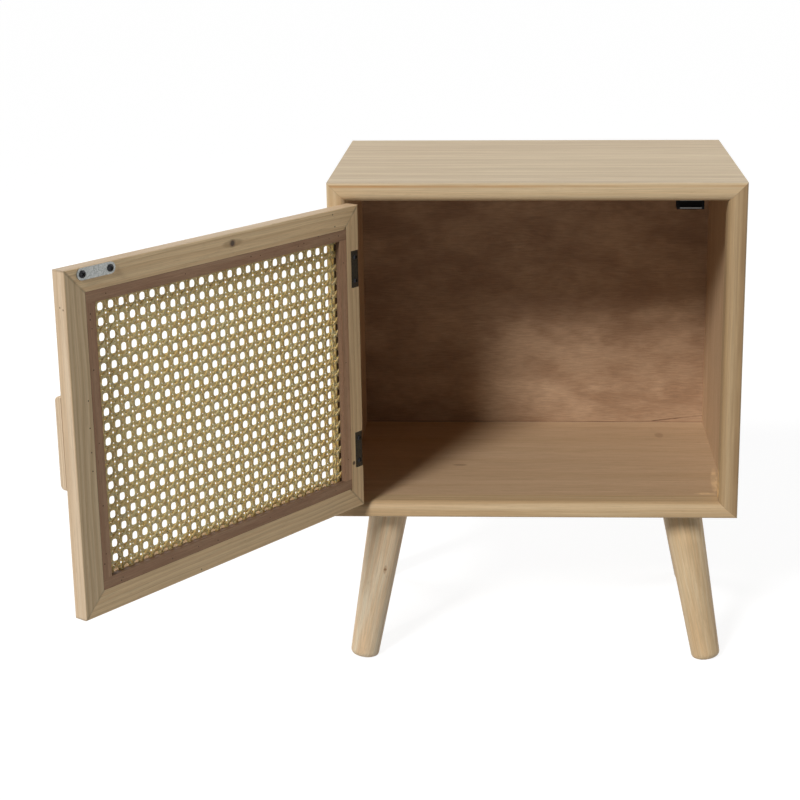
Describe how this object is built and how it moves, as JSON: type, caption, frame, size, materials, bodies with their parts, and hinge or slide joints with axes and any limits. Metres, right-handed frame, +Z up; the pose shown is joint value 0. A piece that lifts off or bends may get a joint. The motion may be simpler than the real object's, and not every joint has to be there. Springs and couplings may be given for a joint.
{
  "type": "storage side table with door",
  "caption": "Small wooden cabinet on splayed round legs, with a hinged cane-panelled door held by a magnetic catch.",
  "frame": {"origin": "on the floor under the middle of the case", "axes": "+X to the right seen from the front, +Y towards the back, +Z up; the rest pose has the door open"},
  "size_m": [0.5954, 0.5835, 0.497],
  "materials": {
    "veneered_board": "satin lacquer",
    "solid_wood": "satin lacquer",
    "back_plywood": "matt",
    "bead_wood": "matt",
    "cane": "semi-gloss natural cane",
    "dark_bronze": "dark bronze",
    "black_steel": "black oxide",
    "zinc_steel": "zinc plated",
    "catch_plastic": "black plastic",
    "magnet_ferrite": "sintered ferrite"
  },
  "bodies": {
    "cabinet": {"back_panel": "back_plywood", "back_panel_brads": "zinc_steel", "bottom_lipping": "solid_wood", "bottom_panel": "veneered_board", "case_hinge_screws": "dark_bronze", "catch_housing": "catch_plastic", "catch_magnet": "magnet_ferrite", "catch_pole_plates": "zinc_steel", "catch_screws": "zinc_steel", "front_left_leg": "solid_wood", "front_left_leg_plate": "zinc_steel", "front_right_leg": "solid_wood", "front_right_leg_plate": "zinc_steel", "left_lipping": "solid_wood", "left_side_panel": "veneered_board", "leg_hanger_bolts": "zinc_steel", "leg_plate_screws": "zinc_steel", "lower_hinge_case_leaf": "dark_bronze", "lower_hinge_pin": "dark_bronze", "rear_left_leg": "solid_wood", "rear_left_leg_plate": "zinc_steel", "rear_right_leg": "solid_wood", "rear_right_leg_plate": "zinc_steel", "right_lipping": "solid_wood", "right_side_panel": "veneered_board", "top_lipping": "solid_wood", "top_panel": "veneered_board", "upper_hinge_case_leaf": "dark_bronze", "upper_hinge_pin": "dark_bronze"},
    "door": {"door_top_rail": "solid_wood", "door_bottom_rail": "solid_wood", "door_hinge_stile": "solid_wood", "door_free_stile": "solid_wood", "cane_panel": "cane", "top_bead": "bead_wood", "bottom_bead": "bead_wood", "hinge_side_bead": "bead_wood", "free_side_bead": "bead_wood", "bead_brads": "zinc_steel", "door_corner_brads": "zinc_steel", "pull_handle": "solid_wood", "pull_brads": "zinc_steel", "strike_plate": "zinc_steel", "strike_plate_screws": "black_steel", "upper_hinge_door_leaf": "dark_bronze", "lower_hinge_door_leaf": "dark_bronze", "door_hinge_screws": "dark_bronze"}
  },
  "joints": [
    {"name": "door_hinge", "type": "hinge", "parent": "cabinet", "child": "door", "pos_m": [-0.1815, -0.139, 0.32775], "axis": [0, 0, -1], "range_deg": [-125.2, 30]}
  ]
}
